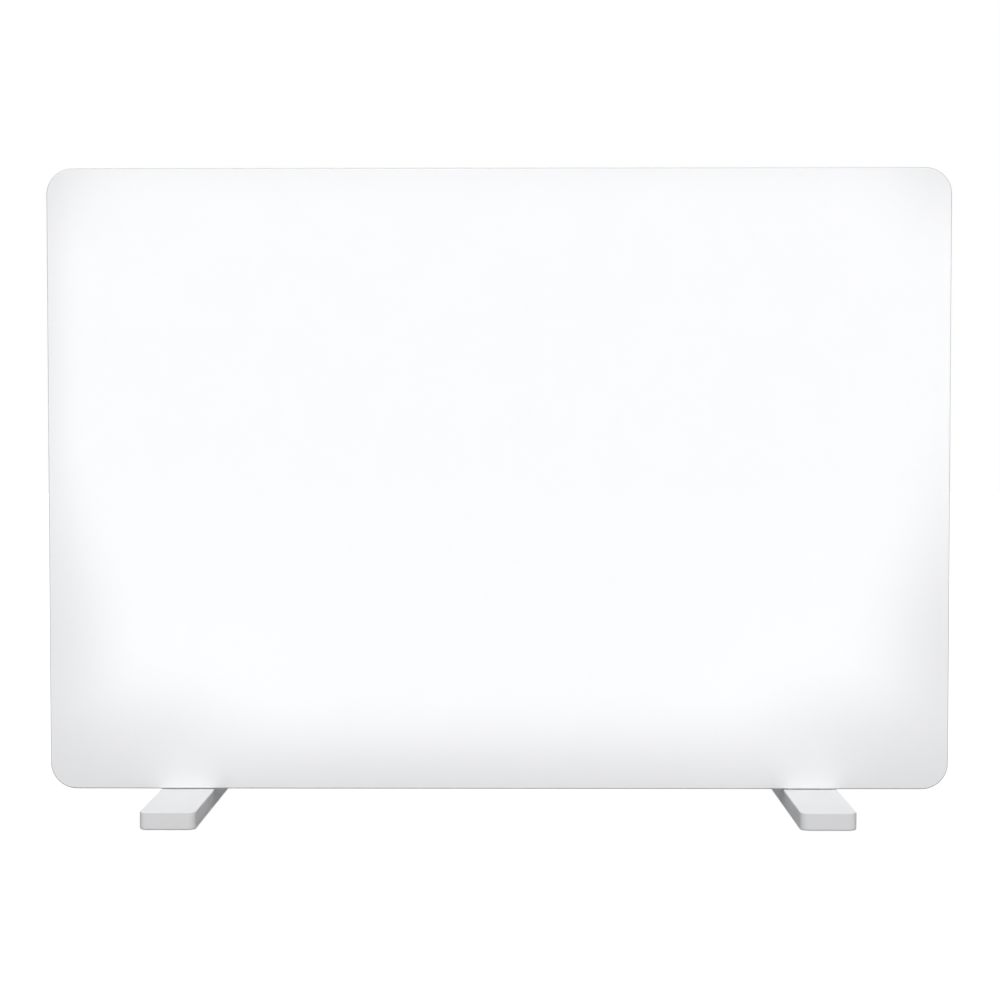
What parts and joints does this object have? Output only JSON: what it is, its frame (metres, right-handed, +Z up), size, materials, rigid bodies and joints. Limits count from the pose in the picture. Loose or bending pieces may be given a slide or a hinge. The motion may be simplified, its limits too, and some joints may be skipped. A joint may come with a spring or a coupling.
{
  "type": "glass panel heater",
  "caption": "Flat electric radiant heater: a glossy white glass panel with round corners on bar feet, with a control unit on its rear.",
  "frame": {"origin": "on the floor, midway between the feet, under the middle plane of the panel", "axes": "+Z up, +X to the right as seen from the front, the front faces -Y; millimetres in the source"},
  "size_m": [0.785, 0.227, 0.5575],
  "materials": {
    "white_glass": "toughened glass enamelled white behind, polished",
    "edge_silicone": "matt silicone",
    "carbon_foil": "matt carbon print on foil",
    "mica": "satin, flecked",
    "felt": "needled glass felt",
    "white_paint": "fine satin powder coat",
    "pad_rubber": "matt moulded rubber",
    "zinc_plate": "bright zinc plate",
    "white_plastic": "fine spark-eroded grain",
    "grey_plastic": "satin moulded",
    "black_plastic": "satin moulded",
    "smoked_lens": "polished, smoked",
    "board_laminate": "satin solder resist on glass laminate",
    "wire_sleeve": "satin silicone sleeve",
    "brass": "turned, slightly dulled",
    "copper_winding": "lacquered copper winding"
  },
  "bodies": {
    "heater": {"front_glass": "white_glass", "rear_glass": "white_glass", "edge_seal": "edge_silicone", "heating_film": "carbon_foil", "mica_sheet": "mica", "insulation_felt": "felt", "foot_left": "white_paint", "foot_right": "white_paint", "rail_left": "white_paint", "rail_right": "white_paint", "foot_bracket_left": "white_paint", "foot_bracket_right": "white_paint", "foot_pad_left_front": "pad_rubber", "foot_pad_left_rear": "pad_rubber", "foot_pad_right_front": "pad_rubber", "foot_pad_right_rear": "pad_rubber", "thumb_screw_left_lower": "zinc_plate", "thumb_screw_left_upper": "zinc_plate", "thumb_screw_right_lower": "zinc_plate", "thumb_screw_right_upper": "zinc_plate", "foot_screw_left_inner": "zinc_plate", "foot_screw_left_outer": "zinc_plate", "foot_screw_right_inner": "zinc_plate", "foot_screw_right_outer": "zinc_plate", "cover_screw_lower_left": "zinc_plate", "cover_screw_lower_right": "zinc_plate", "cover_screw_upper_left": "zinc_plate", "cover_screw_upper_right": "zinc_plate", "radio_module": "zinc_plate", "thermal_cutout": "zinc_plate", "control_cover": "white_plastic", "cord_gland": "white_plastic", "cord_gland_nut": "white_plastic", "room_probe": "white_plastic", "terminal_block": "white_plastic", "control_tray": "grey_plastic", "tip_switch_contact": "grey_plastic", "power_relay": "black_plastic", "smoothing_capacitor": "black_plastic", "tip_switch_frame": "black_plastic", "key_switch_mode": "black_plastic", "key_switch_minus": "black_plastic", "key_switch_plus": "black_plastic", "key_switch_standby": "black_plastic", "display_module": "black_plastic", "rocker_housing": "black_plastic", "display_lens": "smoked_lens", "main_board": "board_laminate", "key_board": "board_laminate", "element_lead_live": "wire_sleeve", "element_lead_neutral": "wire_sleeve", "supply_choke": "copper_winding"},
    "rocker": {"rocker_key": "black_plastic"},
    "mode_key": {"key_mode": "grey_plastic"},
    "minus_key": {"key_minus": "grey_plastic"},
    "plus_key": {"key_plus": "grey_plastic"},
    "standby_key": {"key_standby": "grey_plastic"},
    "tip_weight": {"tip_switch_weight": "brass"}
  },
  "joints": [
    {"name": "rocker_tilt", "type": "hinge", "parent": "heater", "child": "rocker", "pos_m": [0.3845, 0.0203, 0.1525], "axis": [0, -1, 0], "range_deg": [0, 20]},
    {"name": "mode_press", "type": "slide", "parent": "heater", "child": "mode_key", "axis": [-1, 0, 0], "range_m": [0, 0.0008], "stiffness_N_per_m": 600},
    {"name": "minus_press", "type": "slide", "parent": "heater", "child": "minus_key", "axis": [-1, 0, 0], "range_m": [0, 0.0008], "stiffness_N_per_m": 600},
    {"name": "plus_press", "type": "slide", "parent": "heater", "child": "plus_key", "axis": [-1, 0, 0], "range_m": [0, 0.0008], "stiffness_N_per_m": 600},
    {"name": "standby_press", "type": "slide", "parent": "heater", "child": "standby_key", "axis": [-1, 0, 0], "range_m": [0, 0.0008], "stiffness_N_per_m": 600},
    {"name": "tip_swing", "type": "hinge", "parent": "heater", "child": "tip_weight", "pos_m": [0.3263, 0.0203, 0.2145], "axis": [1, 0, 0], "range_deg": [-30, 30]}
  ]
}
